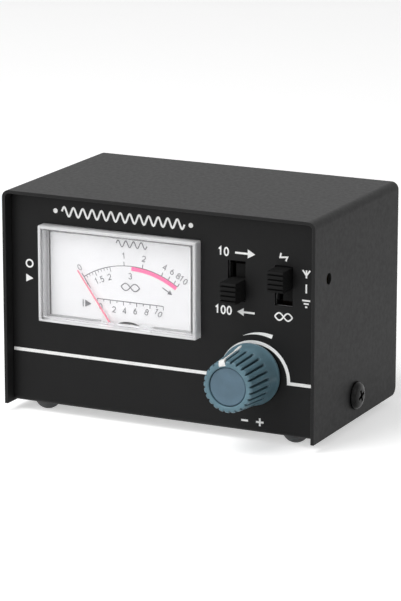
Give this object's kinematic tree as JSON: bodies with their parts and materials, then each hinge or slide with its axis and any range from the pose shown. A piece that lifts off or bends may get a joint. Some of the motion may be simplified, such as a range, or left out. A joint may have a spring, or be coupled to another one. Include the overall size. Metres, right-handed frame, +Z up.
{
  "type": "swr meter",
  "caption": "Compact radio power and standing-wave meter: black folded steel box, needle meter window, slide switches, calibration knob, rear coaxial sockets.",
  "frame": {"origin": "on the ground plane under the middle of the whole object, knob and sockets included", "axes": "+X to the right seen from the front, +Y from the front panel to the rear sockets, +Z up"},
  "size_m": [0.106, 0.0888, 0.0685],
  "materials": {
    "black_paint": "fine black powder coat",
    "screw_black": "black oxide",
    "foot_rubber": "grey translucent rubber",
    "lens_clear": "clear moulded plastic",
    "case_white": "white moulded plastic",
    "dial_white": "white printed sheet",
    "needle_pink": "painted pink",
    "coil_copper": "enamelled copper",
    "brass": "satin brass",
    "bronze": "spring bronze",
    "zinc": "zinc plated",
    "iron": "soft iron",
    "nickel": "bright nickel",
    "black_plastic": "black moulded plastic",
    "phenolic": "brown laminate",
    "board": "tan laminate with solder mask",
    "knob_blue": "blue-grey moulded plastic",
    "cap_grey": "satin blue-grey plastic",
    "trim_blue": "blue moulded plastic",
    "insulator_white": "off-white insulator",
    "silver": "silver plated",
    "copper": "tinned copper",
    "part_glass": "glass bodied diodes",
    "part_tan": "tan lacquer",
    "part_ceramic": "orange ceramic",
    "wire_red": "insulated wire"
  },
  "bodies": {
    "case": {"chassis": "black_paint", "cover": "black_paint", "cover_screws": "screw_black", "feet": "foot_rubber", "meter_lens": "lens_clear", "meter_case": "case_white", "meter_nuts": "zinc", "dial_plate": "dial_white", "dial_screws": "brass", "movement_frame": "brass", "jewel_screws": "brass", "core_magnet": "iron", "yoke_ring": "iron", "core_straps": "brass", "hairsprings": "bronze", "meter_terminals": "brass", "terminal_nuts": "zinc", "range_switch_shell": "zinc", "mode_switch_shell": "zinc", "range_switch_base": "phenolic", "mode_switch_base": "phenolic", "range_switch_pins": "silver", "mode_switch_pins": "silver", "control_board": "board", "pot_frame": "zinc", "pot_can": "zinc", "pot_wafer": "phenolic", "pot_legs": "silver", "pot_washer": "zinc", "pot_nut": "zinc", "trimmer_body": "trim_blue", "tx_socket_shell": "nickel", "antenna_socket_shell": "nickel", "tx_insulator": "insulator_white", "antenna_insulator": "insulator_white", "tx_contact": "silver", "antenna_contact": "silver", "socket_screws": "nickel", "socket_nuts": "zinc", "coupler_board": "board", "line_strip": "copper", "pickup_strips": "copper", "diodes": "part_glass", "resistors": "part_tan", "capacitors": "part_ceramic", "lead_wires": "wire_red"},
    "cal_control": {"cal_knob": "knob_blue", "knob_cap": "cap_grey", "pot_shaft": "nickel", "pot_wiper": "phenolic"},
    "range_control": {"range_lever": "black_plastic", "range_clips": "bronze"},
    "mode_control": {"mode_lever": "black_plastic", "mode_clips": "bronze"},
    "meter_movement": {"needle": "needle_pink", "moving_coil": "coil_copper", "coil_pivots": "zinc"},
    "trimmer_screw": {"trimmer_rotor": "brass"}
  },
  "joints": [
    {"name": "cal_turn", "type": "hinge", "parent": "case", "child": "cal_control", "pos_m": [0.0296, 0, 0.0207], "axis": [0, 1, 0], "range_deg": [-136, 164]},
    {"name": "range_slide", "type": "slide", "parent": "case", "child": "range_control", "axis": [0, 0, 1], "range_m": [0, 0.005]},
    {"name": "mode_slide", "type": "slide", "parent": "case", "child": "mode_control", "axis": [0, 0, 1], "range_m": [-0.005, 0]},
    {"name": "needle_swing", "type": "hinge", "parent": "case", "child": "meter_movement", "pos_m": [-0.012, 0, 0.022], "axis": [0, 1, 0], "range_deg": [0, 72.5], "stiffness_Nm_per_rad": 0.00004, "springref_deg": -11.46},
    {"name": "trimmer_turn", "type": "hinge", "parent": "case", "child": "trimmer_screw", "pos_m": [0.0505, -0.0212, 0.05], "axis": [1, 0, 0], "range_deg": [-135, 135]}
  ]
}
